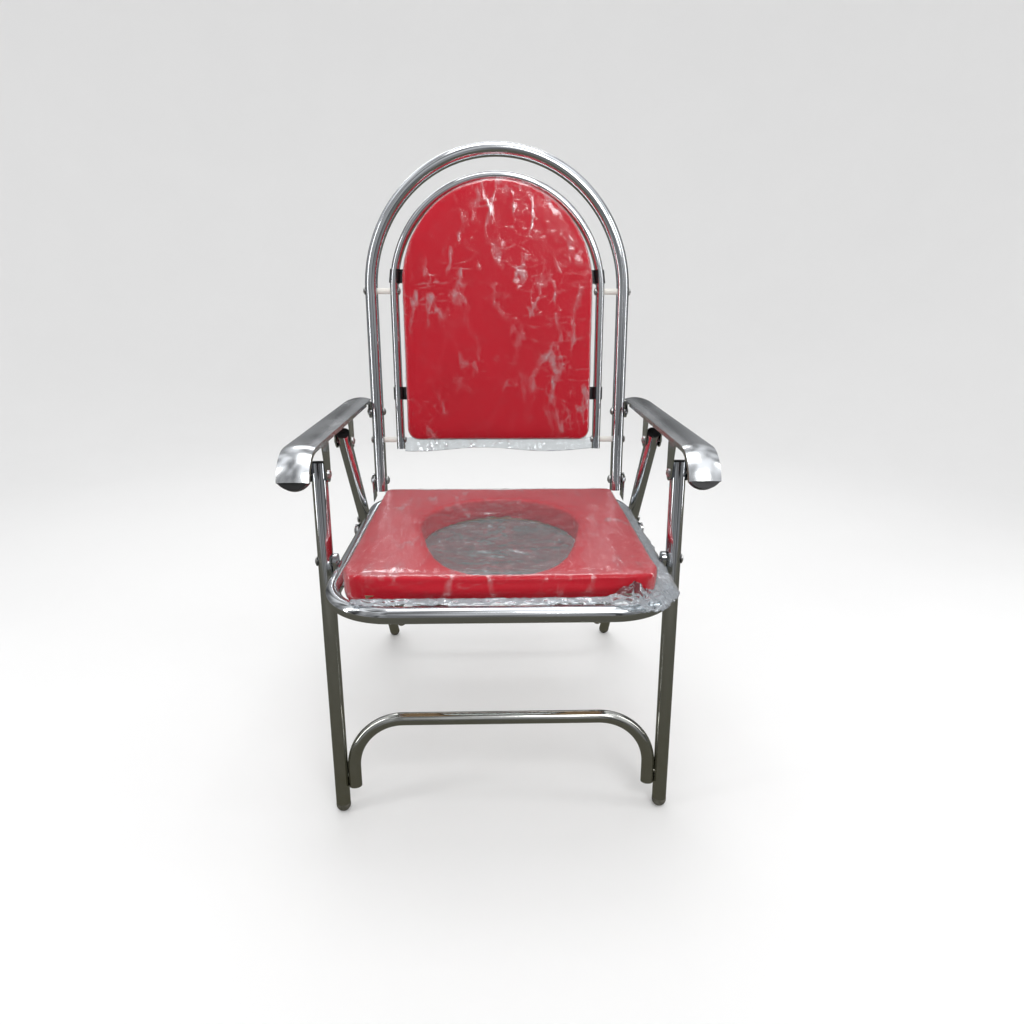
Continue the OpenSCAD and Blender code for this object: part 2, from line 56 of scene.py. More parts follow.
# %% [markdown]
# ## Camera
# The chair is looked at from just in front of it and a little above, with a wide lens, so the
# seat looks large and the feet small. Depth of field stays off. A small upward shift keeps the
# chair in the middle of the picture without tilting the camera any further.

# %% Camera
CAMERA_PLACE = (-0.005, -1.0734, 0.7536)
CAMERA_TURN = (math.radians(65.6), math.radians(-0.16), math.radians(-1.52))
camera_data = bpy.data.cameras.new("studio_camera")
camera_data.sensor_width = 36
camera_data.lens = 23.22
camera_data.shift_x = -0.002
camera_data.shift_y = 0.0767
camera_data.clip_start = 0.02
camera = bpy.data.objects.new("studio_camera", camera_data)
camera.location = CAMERA_PLACE
camera.rotation_euler = Euler(CAMERA_TURN)
scene.collection.objects.link(camera)
scene.camera = camera
print("camera lens in mm:", camera_data.lens)

# %% [markdown]
# ## Helpers for meshes
# Every new piece starts as a bmesh and ends as an object that sits at the origin with its place
# in its mesh. Two helpers do that bookkeeping, and a third bakes live modifiers into the mesh.

# %% Mesh helpers
def as_object(bm, name, smooth=True):
    """Turns a bmesh into an object of the scene."""
    mesh = bpy.data.meshes.new(name)
    bm.to_mesh(mesh)
    bm.free()
    for face in mesh.polygons:
        face.use_smooth = smooth
    piece = bpy.data.objects.new(name, mesh)
    scene.collection.objects.link(piece)
    return piece


def bake_modifiers(piece):
    """Replaces a piece's mesh by what its modifiers make of it, and removes them."""
    graph = bpy.context.evaluated_depsgraph_get()
    graph.update()
    baked = bpy.data.meshes.new_from_object(piece.evaluated_get(graph))
    piece.modifiers.clear()
    old = piece.data
    piece.data = baked
    bpy.data.meshes.remove(old)
    for face in piece.data.polygons:
        face.use_smooth = True
    return piece


def place(piece, matrix):
    """Moves a piece by changing its mesh, so that its object stays at the origin."""
    piece.data.transform(matrix)
    piece.data.update()
    return piece

# %% [markdown]
# ## Helpers for finishes
# Each finish is one Principled shader whose colour, roughness and bump are driven by procedural
# patterns on Object coordinates. One helper adds a node and wires its inputs by name, which keeps
# every finish short enough to read as a recipe.

# %% Finish helpers
def start_finish(name, colour, metallic=0.0, roughness=0.5):
    """A new material with one Principled shader. Plain values go on its own sockets."""
    material = bpy.data.materials.new(name)
    material.use_nodes = True
    shader = material.node_tree.nodes["Principled BSDF"]
    shader.inputs["Base Color"].default_value = (*colour, 1)
    shader.inputs["Metallic"].default_value = metallic
    shader.inputs["Roughness"].default_value = roughness
    material.diffuse_color = (*colour, 1)
    return material, shader


def add(material, kind, settings=None, **inputs):
    """Adds a node. An input is a plain value, or an output socket of another node to link from."""
    node = material.node_tree.nodes.new(kind)
    for key, value in (settings or {}).items():
        setattr(node, key, value)
    for key, value in inputs.items():
        wire(material, node, key.replace("_", " "), value)
    return node


def wire(material, node, socket_name, value):
    """Sets an input or links it. A name that is a number picks the input by its place."""
    socket = node.inputs[int(socket_name) if socket_name.isdigit() else socket_name]
    if isinstance(value, bpy.types.NodeSocket):
        material.node_tree.links.new(value, socket)
    else:
        socket.default_value = value


def ramp(material, factor, stops):
    """A colour ramp from a factor, with (place, grey or colour) stops."""
    node = add(material, "ShaderNodeValToRGB", None, Fac=factor)
    elements = node.color_ramp.elements
    while len(elements) < len(stops):
        elements.new(0.5)
    for element, (place_on_ramp, value) in zip(elements, stops):
        element.position = place_on_ramp
        element.color = (*value, 1) if hasattr(value, "__len__") else (value, value, value, 1)
    return node.outputs["Color"]


def stretched_coordinates(material, scale=(1, 1, 1), turn=(0, 0, 0)):
    """Object coordinates through a Mapping node, to stretch or turn a pattern."""
    coordinates = add(material, "ShaderNodeTexCoord")
    mapping = add(material, "ShaderNodeMapping", None, Vector=coordinates.outputs["Object"],
                  Scale=scale, Rotation=turn)
    return mapping.outputs["Vector"]


def speckle(material, vector, scale, detail=3.0, roughness=0.5, distortion=0.0):
    """Noise in 0 to 1 at a scale in patterns per metre."""
    node = add(material, "ShaderNodeTexNoise", None, Vector=vector, Scale=scale, Detail=detail,
               Roughness=roughness, Distortion=distortion)
    return node.outputs["Fac"]


def cells(material, vector, scale, feature="F1"):
    """Distance to the nearest cell centre or cell edge."""
    node = add(material, "ShaderNodeTexVoronoi", {"feature": feature}, Vector=vector, Scale=scale)
    return node.outputs["Distance"]


def relief(material, height, strength, depth, under=None):
    """A bump from a height pattern, on top of another bump where one is given."""
    node = add(material, "ShaderNodeBump", None, Height=height, Strength=strength, Distance=depth)
    if under is not None:
        wire(material, node, "Normal", under)
    return node.outputs["Normal"]


def blended(material, factor, first, second):
    """Colour between first and second by a factor."""
    node = add(material, "ShaderNodeMix", {"data_type": "RGBA"})
    wire(material, node, "0", factor)
    for place_in_node, value in ((6, first), (7, second)):
        wire(material, node, str(place_in_node), value)
    return node.outputs[2]


def height_above_floor(material, low, high):
    """0 at height low and 1 at height high, in metres above the floor."""
    coordinates = add(material, "ShaderNodeTexCoord")
    split = add(material, "ShaderNodeSeparateXYZ", None, Vector=coordinates.outputs["Object"])
    node = add(material, "ShaderNodeMapRange", None, Value=split.outputs["Z"])
    wire(material, node, "From Min", low)
    wire(material, node, "From Max", high)
    return node.outputs["Result"]

# %% [markdown]
# ## Chromed tube
# Chrome plate mirrors everything, so its look is mostly the room. What tells it from a perfect
# mirror is a faint veil of handling marks that makes patches of it duller and a slow waviness from
# bending the tube. Low down its colour is painted yellower and duller, a painted reflection of the
# olive floor.

# %% Chromed tube
def chrome_finish(name, colour, low_painted_colour, smooth, veiled, grain=(1, 1, 1), grain_depth=0.00002):
    """Plated steel. grain stretches the fine lines that drawing or brushing leaves."""
    material, shader = start_finish(name, colour, metallic=1.0, roughness=smooth)
    plain = stretched_coordinates(material)
    along = stretched_coordinates(material, grain)
    patches = speckle(material, plain, 9, 4, 0.6)
    smudges = speckle(material, plain, 45, 5, 0.65, 0.4)
    lines = speckle(material, along, 300, 3, 0.6)
    low_down = ramp(material, height_above_floor(material, 0.02, 0.42), ((0.0, 1.0), (1.0, 0.0)))
    veil = add(material, "ShaderNodeMath", {"operation": "MULTIPLY"})
    wire(material, veil, "0", ramp(material, patches, ((0.35, 0.0), (0.7, 1.0))))
    wire(material, veil, "1", smudges)
    # Painted reflection: low on the tubes the plate's colour is blended towards a dull olive,
    # standing for the olive floor it mirrors.
    painted_floor_reflection = add(material, "ShaderNodeMath", {"operation": "MULTIPLY"})
    wire(material, painted_floor_reflection, "0", low_down)
    wire(material, painted_floor_reflection, "1", ramp(material, smudges, ((0.2, 0.55), (0.8, 1.0))))
    wire(material, shader, "Base Color",
         blended(material, painted_floor_reflection.outputs[0], (*colour, 1), (*low_painted_colour, 1)))
    shine = add(material, "ShaderNodeMapRange", None, Value=veil.outputs[0])
    wire(material, shine, "To Min", smooth)
    wire(material, shine, "To Max", veiled)
    wire(material, shader, "Roughness", shine.outputs["Result"])
    wavy = relief(material, patches, 0.25, 0.0006)
    wire(material, shader, "Normal", relief(material, lines, 0.3, grain_depth, wavy))
    return material


CHROME = (0.70, 0.715, 0.735)
# This dull olive is a painted reflection of the floor, used low on the tubes.
CHROME_LOW_PAINTED_REFLECTION = (0.50, 0.49, 0.40)
tube_chrome = chrome_finish("chromed_tube", CHROME, CHROME_LOW_PAINTED_REFLECTION, 0.06, 0.26)
arm_chrome = chrome_finish("stamped_arm_chrome", (0.72, 0.735, 0.75), CHROME, 0.16, 0.38,
                           grain=(3, 0.12, 3), grain_depth=0.00005)
print("chrome finishes:", tube_chrome.name, arm_chrome.name)

# %% [markdown]
# ## Zinc plated screws and bolts
# Zinc plate is greyer and rougher than chrome. Its crystals catch the light one by one, which a
# coarse cell pattern on colour and roughness gives at the size of a bolt head.

# %% Zinc plate
def zinc_finish(name):
    """Grey plated steel with a faint crystal pattern."""
    material, shader = start_finish(name, (0.52, 0.52, 0.51), metallic=1.0, roughness=0.32)
    plain = stretched_coordinates(material)
    crystals = cells(material, plain, 700)
    wear = speckle(material, plain, 160, 4)
    wire(material, shader, "Base Color",
         ramp(material, crystals, ((0.0, (0.40, 0.40, 0.39)), (0.6, (0.62, 0.62, 0.61)))))
    wire(material, shader, "Roughness", ramp(material, wear, ((0.3, 0.22), (0.75, 0.45))))
    wire(material, shader, "Normal", relief(material, wear, 0.25, 0.0002))
    return material


zinc = zinc_finish("zinc_plate")

# %% [markdown]
# ## Red leatherette
# The covering is a vinyl coated cloth, embossed with a fine pebble grain. The grain is made of
# small cells whose edges sink, over a softer noise. The colour wanders a little, and the grain's
# furrows are painted a darker red, a painted shade.

# %% Red leatherette
RED = (0.60, 0.003, 0.020)
RED_FURROW_SHADE = (0.42, 0.002, 0.012)


def leatherette_finish(name):
    """Red embossed vinyl with a soft shine."""
    material, shader = start_finish(name, RED, roughness=0.4)
    plain = stretched_coordinates(material)
    pebbles = cells(material, plain, 850, "DISTANCE_TO_EDGE")
    furrows = ramp(material, pebbles, ((0.0, 0.0), (0.16, 1.0)))
    soft = speckle(material, plain, 240, 4, 0.6)
    slow = speckle(material, plain, 7, 3)
    body = blended(material, ramp(material, slow, ((0.3, 0.0), (0.7, 1.0))),
                   (*RED, 1), (0.53, 0.003, 0.016, 1))
    # Painted shade: the grain's furrows are coloured a darker red.
    furrow_shade = add(material, "ShaderNodeMapRange", None, Value=furrows)
    wire(material, furrow_shade, "To Min", 0.55)
    wire(material, furrow_shade, "To Max", 0.0)
    wire(material, shader, "Base Color",
         blended(material, furrow_shade.outputs["Result"], body, (*RED_FURROW_SHADE, 1)))
    wire(material, shader, "Roughness", ramp(material, soft, ((0.3, 0.30), (0.75, 0.48))))
    grain = relief(material, furrows, 0.35, 0.00012)
    wire(material, shader, "Normal", relief(material, soft, 0.2, 0.0002, grain))
    shader.inputs["Specular IOR Level"].default_value = 0.2
    shader.inputs["Coat Weight"].default_value = 0.05
    shader.inputs["Coat Roughness"].default_value = 0.25
    return material


leatherette = leatherette_finish("red_leatherette")

# %% [markdown]
# ## Plywood, black plastic and rubber
# The boards under the cushions are thin plywood, seen from below and behind. Its grain is a noise
# stretched along one direction. The plugs and clips are moulded black plastic, and the feet are a
# dark olive rubber with dusty scuffs near the floor.

# %% Plywood, plastic and rubber
def plywood_finish(name):
    """Raw thin plywood with long grain across the chair."""
    material, shader = start_finish(name, (0.32, 0.20, 0.11), roughness=0.72)
    grain = stretched_coordinates(material, (1, 14, 14))
    lines = speckle(material, grain, 14, 6, 0.6, 0.6)
    pores = speckle(material, grain, 120, 3, 0.5)
    wire(material, shader, "Base Color",
         ramp(material, lines, ((0.3, (0.21, 0.125, 0.065)), (0.52, (0.36, 0.235, 0.13)),
                                (0.72, (0.45, 0.31, 0.18)))))
    wire(material, shader, "Roughness", ramp(material, pores, ((0.3, 0.6), (0.7, 0.85))))
    wire(material, shader, "Normal", relief(material, pores, 0.4, 0.0003))
    return material


def moulded_finish(name, colour, dusty_colour, grain_scale, smooth, rough):
    """A moulded dark plastic or rubber, dusty near the floor."""
    material, shader = start_finish(name, colour, roughness=smooth)
    plain = stretched_coordinates(material)
    grain = speckle(material, plain, grain_scale, 4, 0.6)
    scuffs = speckle(material, plain, 90, 5, 0.65, 0.5)
    low_down = ramp(material, height_above_floor(material, 0.0, 0.06), ((0.0, 0.8), (1.0, 0.1)))
    dust = add(material, "ShaderNodeMath", {"operation": "MULTIPLY"})
    wire(material, dust, "0", ramp(material, scuffs, ((0.4, 0.0), (0.7, 1.0))))
    wire(material, dust, "1", low_down)
    wire(material, shader, "Base Color",
         blended(material, dust.outputs[0], (*colour, 1), (*dusty_colour, 1)))
    wire(material, shader, "Roughness", ramp(material, scuffs, ((0.3, smooth), (0.7, rough))))
    wire(material, shader, "Normal", relief(material, grain, 0.3, 0.0002))
    return material


plywood = plywood_finish("plywood")
black_plastic = moulded_finish("black_plastic", (0.012, 0.012, 0.013), (0.05, 0.05, 0.05),
                               1400, 0.24, 0.42)
white_nylon = moulded_finish("white_nylon", (0.80, 0.79, 0.74), (0.6, 0.58, 0.52),
                             700, 0.35, 0.5)
foot_rubber = moulded_finish("foot_rubber", (0.060, 0.058, 0.042), (0.16, 0.15, 0.12),
                             900, 0.45, 0.75)

# %% [markdown]
# ## Give every frame part its finish
# The frame's parts already have the right shapes, so they only need finishes. The part names say
# what each one is, and the first rule whose word is in the name wins.

# %% Finishes on the frame
FINISH_RULES = (
    ("screws", zinc), ("bolts", zinc), ("rivets", zinc),
    ("feet", foot_rubber), ("plug", black_plastic), ("clips", black_plastic),
    ("spacers", white_nylon), ("board", plywood), ("cushion", leatherette),
    ("arm_shell", arm_chrome), ("", tube_chrome),
)
for node_name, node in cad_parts.items():
    finish = next(made for word, made in FINISH_RULES if word in node_name)
    if not node.material_slots:
        node.data.materials.append(finish)
    for slot in node.material_slots:
        slot.material = finish
print("finishes given to", len(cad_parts), "frame parts")

# %% [markdown]
# ## Cushions, step one: the cut foam
# Each cushion is a flat slab of foam on a board, pulled into its cover. It is built lying flat,
# with x across, y away from the sitter's knees or up the back, and z through its thickness.
# A cube with bevelled upright edges gives the outline: wide round ones make the arched top of the
# back, and short ones make the cut front corners of the seat.

# %% Cut foam
SWELL_ROOM = 1.5 * MM  # the slab starts this much smaller all round, because it swells


def upright_edges(bm, test):
    """The upright edges of a slab whose middle point passes a test."""
    found = []
    for edge in bm.edges:
        first, second = (vertex.co for vertex in edge.verts)
        if abs(first.z - second.z) > 1e-5 and test((first + second) / 2):
            found.append(edge)
    return found


def slab(low, high):
    """A plain box between two corners."""
    bm = bmesh.new()
    bmesh.ops.create_cube(bm, size=1)
    size = high - low
    bmesh.ops.scale(bm, vec=size, verts=bm.verts)
    bmesh.ops.translate(bm, vec=(low + high) / 2, verts=bm.verts)
    return bm


def round_edges(bm, edges, radius, segments):
    """Bevels edges to a radius."""
    bmesh.ops.bevel(bm, geom=edges, offset=radius, offset_type="OFFSET", segments=segments,
                    profile=0.5, affect="EDGES", clamp_overlap=True, material=-1)


# The seat's foam comes straight from the box of the CAD cushion.
seat_low, seat_high = (Vector(corner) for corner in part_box("seat_cushion"))
SEAT_CORNER = 31 * MM
inset = Vector((SWELL_ROOM, SWELL_ROOM, SWELL_ROOM))
seat_bm = slab(seat_low + Vector((inset.x, inset.y, 0)), seat_high - inset)
board_low, board_high = (Vector(corner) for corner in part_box("seat_board"))
seat_middle_y = (seat_low.y + seat_high.y) / 2
round_edges(seat_bm, upright_edges(seat_bm, lambda p: p.y < seat_middle_y), SEAT_CORNER, 2)
round_edges(seat_bm, upright_edges(seat_bm, lambda p: p.y > seat_high.y - 0.01), 8 * MM, 3)
seat_foam = as_object(seat_bm, "seat_pad")

# The back's foam is measured on the leaning frame of the back.
BACK_LEAN = math.radians(10)
BACK_HALF_WIDTH = 165 * MM
BACK_BOTTOM, BACK_TOP = 87 * MM, 511 * MM  # along the back, from its lower end
BACK_REAR, BACK_FACE = 1.3 * MM, 34.1 * MM  # in front of the tubes' centre plane
BACK_BOARD_FACE = 10.1 * MM
WRAP = 3.9 * MM  # the cover's thickness round the board's edge
back_rear_plane = Vector((0, 0.1452, 0.417))
BACK_FRAME = (Matrix.Translation(back_rear_plane) @ Matrix.Rotation(-BACK_LEAN, 4, "X")
              @ Matrix.Rotation(math.pi / 2, 4, "X"))
back_bm = slab(Vector((-BACK_HALF_WIDTH + SWELL_ROOM, BACK_BOTTOM + SWELL_ROOM, BACK_REAR)),
               Vector((BACK_HALF_WIDTH - SWELL_ROOM, BACK_TOP - SWELL_ROOM,
                       BACK_FACE - SWELL_ROOM)))
back_middle = (BACK_BOTTOM + BACK_TOP) / 2
round_edges(back_bm, upright_edges(back_bm, lambda p: p.y < back_middle), 18 * MM, 5)
round_edges(back_bm, upright_edges(back_bm, lambda p: p.y > BACK_TOP - 0.02),
            BACK_HALF_WIDTH - SWELL_ROOM - 0.05 * MM, 28)
back_foam = as_object(back_bm, "back_pad")
print("foam of the seat:", [round(v, 4) for v in seat_foam.dimensions],
      "and back:", [round(v, 4) for v in back_foam.dimensions])

# %% [markdown]
# ## Cushions, step two: the opening in the seat
# The opening is an egg: a blunt oval behind and a squarer, longer end in front. A ring of points
# is moved by the formula of a rounded oval, made into a plug, and cut out of the foam.

# %% Opening
EGG_MIDDLE_Y = 150 * MM - 251.2 * MM
EGG_HALF_WIDTH = 119 * MM
EGG_REAR, EGG_FRONT = 126 * MM, 198 * MM


def egg_share(reach):
    """Share of the half width that the front part still has at a share of its reach."""
    return max(0.0, 1 - reach ** 4.5) ** (1 / 4.5) * (1 - 0.32 * reach ** 1.15)


def egg_point(angle, grow=0.0):
    """A point of the opening's edge, moved outwards by grow."""
    across, along = math.cos(angle), math.sin(angle)
    width = EGG_HALF_WIDTH + grow
    if along >= 0:
        return width * across, EGG_MIDDLE_Y + (EGG_REAR + grow) * along
    x = math.copysign(width * egg_share(-along), across)
    return x, EGG_MIDDLE_Y + (EGG_FRONT + grow) * along


def egg_plug(grow, low, high, name):
    """A solid plug with the opening's outline."""
    bm = bmesh.new()
    bmesh.ops.create_circle(bm, cap_ends=True, radius=1, segments=120)
    for vertex in bm.verts:
        vertex.co.x, vertex.co.y = egg_point(math.atan2(vertex.co.y, vertex.co.x), grow)
        vertex.co.z = low
    grown = bmesh.ops.extrude_face_region(bm, geom=bm.faces[:])
    raised = [item for item in grown["geom"] if isinstance(item, bmesh.types.BMVert)]
    bmesh.ops.translate(bm, vec=(0, 0, high - low), verts=raised)
    bmesh.ops.recalc_face_normals(bm, faces=bm.faces)
    return as_object(bm, name)


plug = egg_plug(0.0, seat_low.z - 0.05, seat_high.z + 0.05, "opening_plug")
cut = seat_foam.modifiers.new("opening", "BOOLEAN")
cut.operation = "DIFFERENCE"
cut.solver = "EXACT"
cut.object = plug
bake_modifiers(seat_foam)
bpy.data.objects.remove(plug)
print("opening width in m:", round(2 * EGG_HALF_WIDTH, 3))

# %% [markdown]
# ## Cushions, step three: swelling
# Foam pushes its cover out, most in the middle of a face and least at an edge. A cloth simulation
# with a little air pressure and no gravity does this better than any hand shaping. The mesh is
# rebuilt in even squares first, no point may move further than a cap, and the side that lies
# on the board is pressed flat again. Last, the pad is stretched to the box it was measured for,
# and the wall of the opening is moved back to its outline.

# %% Swelling
def rebuild(piece, size):
    """Rebuilds the surface in even squares."""
    remesh = piece.modifiers.new("even", "REMESH")
    remesh.mode = "VOXEL"
    remesh.voxel_size = size
    return bake_modifiers(piece)


def swell(piece, cap, floor, pressure=4.0, frames=20):
    """Inflates a closed mesh as cloth, and holds each point within cap of where it was.

    Near the floor, where the cover is stapled to the board, it holds it more.
    """
    before = [vertex.co.copy() for vertex in piece.data.vertices]
    cloth = piece.modifiers.new("cover", "CLOTH")
    cloth.settings.quality = 5
    cloth.settings.mass = 0.3
    cloth.settings.tension_stiffness = 25
    cloth.settings.compression_stiffness = 25
    cloth.settings.use_pressure = True
    cloth.settings.uniform_pressure_force = pressure
    cloth.settings.effector_weights.gravity = 0
    cloth.point_cache.frame_start = 1
    cloth.point_cache.frame_end = frames
    for step in range(1, frames + 1):
        scene.frame_set(step)
    bake_modifiers(piece)
    scene.frame_set(1)
    for vertex, start in zip(piece.data.vertices, before):
        moved = vertex.co - start
        room = cap * min(1.0, max(0.0, start.z - floor) / HELD_HEIGHT)
        if moved.length > room:
            vertex.co = start + moved * (room / moved.length)
    return piece


def press_flat(piece, floor):
    """Presses everything below a height up to it, as a board does."""
    for vertex in piece.data.vertices:
        if vertex.co.z < floor:
            vertex.co.z = floor


def soften(piece, times=3, factor=0.5):
    """Relaxes small unevenness without shrinking the whole."""
    bm = bmesh.new()
    bm.from_mesh(piece.data)
    for _ in range(times):
        bmesh.ops.smooth_vert(bm, verts=bm.verts, factor=factor,
                              use_axis_x=True, use_axis_y=True, use_axis_z=True)
    bm.to_mesh(piece.data)
    bm.free()


def fit_to_box(pad, low, high):
    """Stretches a swollen pad a little, so that it fills the box it was measured for."""
    points = [vertex.co for vertex in pad.data.vertices]
    for axis in range(3):
        least, most = min(p[axis] for p in points), max(p[axis] for p in points)
        stretch = (high[axis] - low[axis]) / (most - least)
        for point in points:
            point[axis] = low[axis] + (point[axis] - least) * stretch


SECTORS = 90  # slices of the opening, seen from above, that are each measured on their own
OUTLINE_STEPS = 720
OPENING_FADE = 32 * MM  # how far from the opening its wall's movement dies out


def sector_of(offset):
    """Which slice of the opening a direction falls in, as a number from 0 to SECTORS."""
    return (math.atan2(offset.y, offset.x) / (2 * math.pi) % 1) * SECTORS


def nearest_by_sector(offsets):
    """The shortest distance from the opening's middle in each slice."""
    shortest = [math.inf] * SECTORS
    for offset in offsets:
        sector = int(sector_of(offset)) % SECTORS
        shortest[sector] = min(shortest[sector], offset.length)
    return shortest


def match_opening(pad):
    """Moves the wall of the opening in or out, so that the opening keeps its measured outline."""
    centre = Vector((0, EGG_MIDDLE_Y))
    outline = [Vector(egg_point(2 * math.pi * step / OUTLINE_STEPS)) - centre
               for step in range(OUTLINE_STEPS)]
    offsets = [vertex.co.xy - centre for vertex in pad.data.vertices]
    found = nearest_by_sector(offsets)
    moves = [want - have for want, have in zip(nearest_by_sector(outline), found)]
    for vertex, offset in zip(pad.data.vertices, offsets):
        share = sector_of(offset) - 0.5
        first = math.floor(share)
        part = share - first
        first %= SECTORS
        second = (first + 1) % SECTORS
        move = moves[first] * (1 - part) + moves[second] * part
        edge = found[first] * (1 - part) + found[second] * part
        fade = near(max(0.0, offset.length - edge), OPENING_FADE)
        vertex.co.xy += offset.normalized() * move * fade


def near(value, width):
    """1 at zero distance and 0 past a width, with a soft shoulder."""
    if abs(value) >= width:
        return 0.0
    share = 1 - abs(value) / width
    return share * share * (3 - 2 * share)


PAD_SQUARE = 4.5 * MM
SWELL_CAP = 2.6 * MM
HELD_HEIGHT = 15 * MM  # the cover is held by the board up to here
for pad, low, high in (
        (seat_foam, seat_low, seat_high),
        (back_foam, Vector((-BACK_HALF_WIDTH, BACK_BOTTOM, BACK_REAR)),
         Vector((BACK_HALF_WIDTH, BACK_TOP, BACK_FACE)))):
    rebuild(pad, PAD_SQUARE)
    soften(pad, 1)
    swell(pad, SWELL_CAP, low.z)
    soften(pad, 1, 0.4)
    press_flat(pad, low.z)
    fit_to_box(pad, low, high)
    print(pad.name, "points:", len(pad.data.vertices))
match_opening(seat_foam)

# %% [markdown]
# ## Cushions, step four: puckers and folds of the cover
# The cover is pulled round the edges and stapled below. It puckers a little along each edge, and
# at the front corners the spare material is folded into a pleat. Puckers are small waves across
# the edge that die out within a few centimetres, and the pleat is a narrow groove down the corner.

# %% Puckers and pleats
def edge_wave(position, strength, rate, seed):
    """A slow wave with uneven spacing, from smooth noise."""
    return strength * noise.noise(Vector((position * rate, seed, 0.0)))


def outline_depth(point, half_width, low, high, corner):
    """How far inside a rounded rectangle a point is. corner cuts its front corners off."""
    across, along = abs(point.x), point.y
    depth = min(half_width - across, along - low, high - along)
    cut_corner = (half_width - across + along - low - corner) / math.sqrt(2)
    return min(depth, cut_corner)


def arch_depth(point):
    """How far inside the back's arched outline a point is, built flat."""
    arch_middle = BACK_TOP - BACK_HALF_WIDTH
    if point.y > arch_middle:
        return BACK_HALF_WIDTH - math.hypot(point.x, point.y - arch_middle)
    return min(BACK_HALF_WIDTH - abs(point.x), point.y - BACK_BOTTOM)


SKIRT = WRAP + 1.5 * MM  # depth over which the cover reaches below the board's face


def press_round_board(pad, board_face, depth_of):
    """Presses the underside flat on the board, but for the cover that wraps its edges."""
    for vertex in pad.data.vertices:
        if vertex.co.z < board_face and depth_of(vertex.co) > SKIRT:
            vertex.co.z = board_face


EGG_STEPS = 360
egg_outline = kdtree.KDTree(EGG_STEPS)
for step in range(EGG_STEPS):
    egg_outline.insert((*egg_point(2 * math.pi * step / EGG_STEPS), 0), step)
egg_outline.balance()


def egg_depth(point):
    """How far a point is from the opening's edge."""
    return egg_outline.find((point.x, point.y, 0))[2]


def seat_depth(point):
    """How far a point of the seat is from the cover's outer edge or the opening."""
    outer = outline_depth(point, seat_high.x, seat_low.y, seat_high.y, SEAT_CORNER)
    return min(outer, egg_depth(point))


def pucker_seat(pad):
    """Waves along the seat's edges and a pleat in each front corner."""
    top = max(vertex.co.z for vertex in pad.data.vertices)
    for vertex in pad.data.vertices:
        point = vertex.co
        height = (point.z - seat_low.z) / (top - seat_low.z)
        from_front = point.y - seat_low.y
        from_side = seat_high.x - abs(point.x)
        on_front = near(from_front, 30 * MM) * height
        on_side = near(from_side, 30 * MM) * height
        point.z -= on_front * (0.5 + edge_wave(point.x, 1, 42, 3.1)) * 1.3 * MM
        point.z -= on_side * (0.5 + edge_wave(point.y, 1, 38, 7.7)) * 1.3 * MM
        # The pleat runs up the chamfered corner and fades on the top face.
        corner_x = math.copysign(seat_high.x - 30 * MM, point.x)
        across = (abs(point.x) - abs(corner_x)) - 0.35 * (from_front - 2 * MM)
        depth = near(across, 5 * MM) * near(from_front, 42 * MM)
        point.y += depth * 2.2 * MM * (1 - 0.5 * height)
        point.z -= depth * 1.6 * MM * height


def pucker_back(pad):
    """Waves along the back cushion's arched edge, built flat."""
    arch_middle = BACK_TOP - BACK_HALF_WIDTH
    for vertex in pad.data.vertices:
        point = vertex.co
        height = (point.z - BACK_REAR) / (BACK_FACE - BACK_REAR)
        if point.y > arch_middle:
            radius = math.hypot(point.x, point.y - arch_middle)
            along = math.atan2(point.x, point.y - arch_middle) * BACK_HALF_WIDTH
        else:
            radius, along = abs(point.x), point.y
        edge = near(BACK_HALF_WIDTH - radius, 24 * MM) * height
        point.z -= edge * (0.5 + edge_wave(along, 1, 45, 5.2)) * 1.2 * MM


pucker_seat(seat_foam)
pucker_back(back_foam)
flat_back = back_foam.data.copy()  # each wrapping is made round the pad before it is pressed
flat_seat = seat_foam.data.copy()


def finish_pad(pad, node, body):
    """Gives a pad its last subdivision, its finish and its body."""
    smooth = pad.modifiers.new("smooth", "SUBSURF")
    smooth.levels = 1
    smooth.render_levels = 1
    bake_modifiers(pad)
    pad.data.materials.clear()
    pad.data.materials.append(leatherette)
    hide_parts(node)
    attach(pad, body)


press_round_board(seat_foam, board_high.z + 0.1 * MM, seat_depth)
press_round_board(back_foam, BACK_BOARD_FACE, arch_depth)
place(back_foam, BACK_FRAME)
finish_pad(seat_foam, "seat_cushion", "seat")
finish_pad(back_foam, "back_cushion", "backrest")
print("back pad box:", [round(v, 4) for v in back_foam.dimensions])

# %% [markdown]
# ## Clear wrapping film
# The cushions are still shrink wrapped. A taut film takes the smallest outward shape round what
# it wraps, which is the convex hull, so the film is that hull, rebuilt in even squares, pushed out
# by its own crinkles and given a thin wall. It bridges the opening and sags there a little.
# The finish is nearly clear, milky along its creases, and mirrors the lamps on each crinkle.

# %% Film finish
CREASE_START, CREASE_TOP = 1.5, 2.1  # values of the ridged pattern where a crease is milky


def ridges(material, vector, scale, detail, roughness):
    """Sharp ridges, for creases."""
    return add(material, "ShaderNodeTexNoise", {"noise_type": "RIDGED_MULTIFRACTAL"},
               Vector=vector, Scale=scale, Detail=detail, Roughness=roughness,
               Offset=1.0, Gain=2.0).outputs["Fac"]


